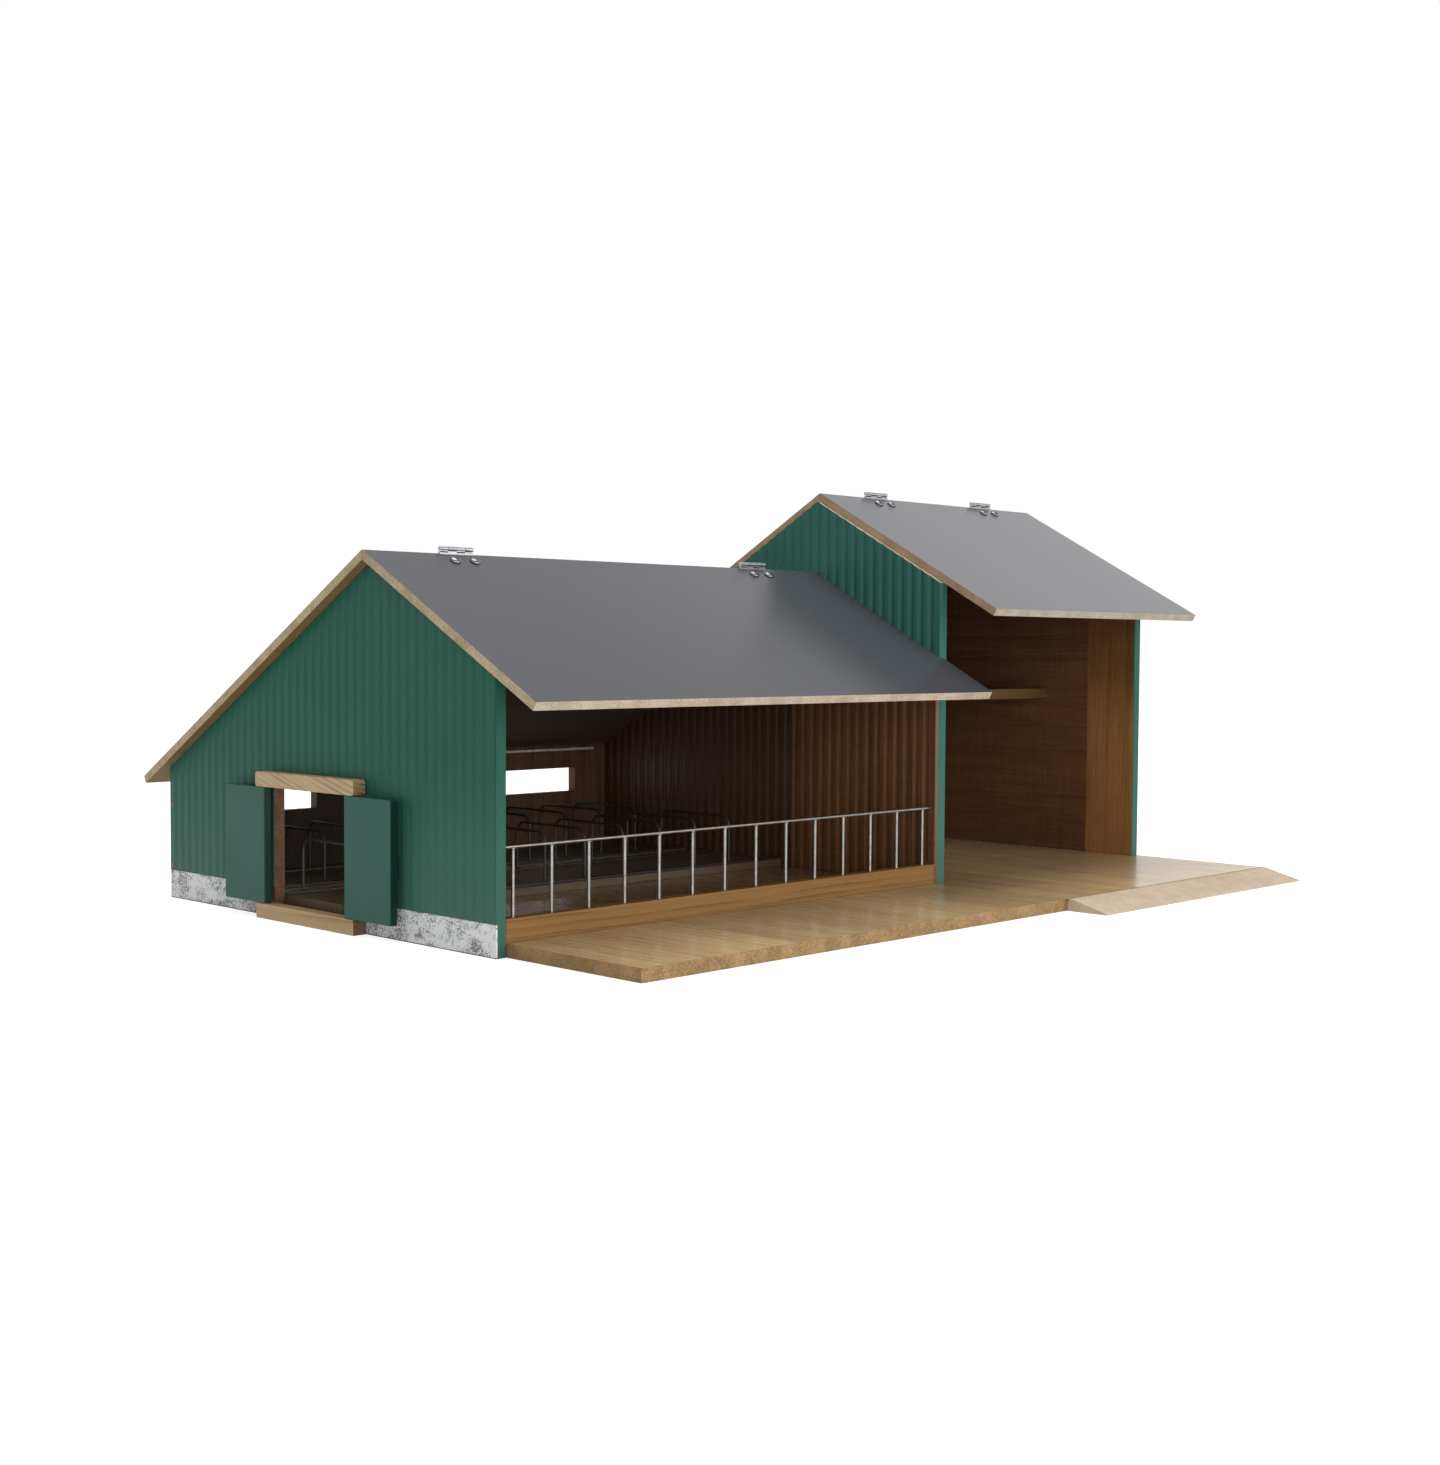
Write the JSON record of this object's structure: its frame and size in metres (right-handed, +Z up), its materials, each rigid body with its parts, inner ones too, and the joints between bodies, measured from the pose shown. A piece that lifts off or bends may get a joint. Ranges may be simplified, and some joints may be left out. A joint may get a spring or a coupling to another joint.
{
  "type": "toy barn",
  "caption": "Open-fronted toy cattle barn beside a taller machine shed, with lifting front roof panels, folding side doors, feed fence, stalls, loft and ramp.",
  "frame": {"origin": "centre of the bounding box in plan, on the plane that the barn stands on", "axes": "+X along the ridges from the low cattle barn to the tall shed, +Y from the open front to the back wall, +Z up"},
  "size_m": [0.758, 0.5846, 0.3302],
  "materials": {
    "green_board": "green lacquered board, brown wood grain on the inner face, satin",
    "brown_veneer": "brown wood-grain laminate, satin",
    "floor_board": "light brown wood-grain laminate, raw board edges",
    "roof_board": "dark grey laminate on top, brown grain below, raw board edges",
    "pine": "plain sanded pine",
    "beech": "plain sanded board, pale",
    "concrete_print": "printed grey concrete pattern, matt",
    "zinc": "bright zinc plate",
    "wire": "bright drawn wire"
  },
  "bodies": {
    "shell": {"door_lintel": "pine", "door_threshold": "pine", "feed_board": "pine", "feed_fence": "wire", "left_gable_wall": "green_board", "loading_ramp": "beech", "loft_shelf": "brown_veneer", "low_back_wall": "green_board", "low_barn_floor": "floor_board", "low_hinge_pin_left": "zinc", "low_hinge_pin_right": "zinc", "low_rear_hinge_leaf_left": "zinc", "low_rear_hinge_leaf_right": "zinc", "low_rear_roof": "roof_board", "low_rear_screw_left_1": "zinc", "low_rear_screw_left_2": "zinc", "low_rear_screw_right_1": "zinc", "low_rear_screw_right_2": "zinc", "middle_stall_base": "pine", "middle_stall_frame": "wire", "partition_lining": "brown_veneer", "partition_wall": "green_board", "plinth_strip": "concrete_print", "rear_stall_base": "pine", "rear_stall_frame": "wire", "right_gable_wall": "green_board", "shed_back_wall": "green_board", "shed_floor": "floor_board", "tall_hinge_pin_left": "zinc", "tall_hinge_pin_right": "zinc", "tall_rear_hinge_leaf_left": "zinc", "tall_rear_hinge_leaf_right": "zinc", "tall_rear_roof": "roof_board", "tall_rear_screw_left_1": "zinc", "tall_rear_screw_left_2": "zinc", "tall_rear_screw_right_1": "zinc", "tall_rear_screw_right_2": "zinc", "window_bar": "wire"},
    "low_roof": {"low_front_hinge_leaf_left": "zinc", "low_front_hinge_leaf_right": "zinc", "low_front_roof": "roof_board", "low_front_screw_left_1": "zinc", "low_front_screw_left_2": "zinc", "low_front_screw_right_1": "zinc", "low_front_screw_right_2": "zinc"},
    "tall_roof": {"tall_front_hinge_leaf_left": "zinc", "tall_front_hinge_leaf_right": "zinc", "tall_front_roof": "roof_board", "tall_front_screw_left_1": "zinc", "tall_front_screw_left_2": "zinc", "tall_front_screw_right_1": "zinc", "tall_front_screw_right_2": "zinc"},
    "right_door": {"right_door": "green_board", "right_door_foot_pin": "zinc", "right_door_handle": "green_board", "right_door_head_pin": "zinc"},
    "left_door": {"left_door": "green_board", "left_door_foot_pin": "zinc", "left_door_handle": "green_board", "left_door_head_pin": "zinc"}
  },
  "joints": [
    {"name": "low_front_roof", "type": "hinge", "parent": "shell", "child": "low_roof", "pos_m": [-0.15, -0.00225, 0.2627], "axis": [-1, 0, 0], "range_deg": [0, 214]},
    {"name": "tall_front_roof", "type": "hinge", "parent": "shell", "child": "tall_roof", "pos_m": [0.231, -0.00225, 0.3287], "axis": [-1, 0, 0], "range_deg": [0, 234]},
    {"name": "right_door", "type": "hinge", "parent": "shell", "child": "right_door", "pos_m": [-0.376, 0.01475, 0.0525], "axis": [0, 0, -1], "range_deg": [0, 180]},
    {"name": "left_door", "type": "hinge", "parent": "shell", "child": "left_door", "pos_m": [-0.376, 0.11875, 0.0525], "axis": [0, 0, 1], "range_deg": [0, 180]}
  ]
}
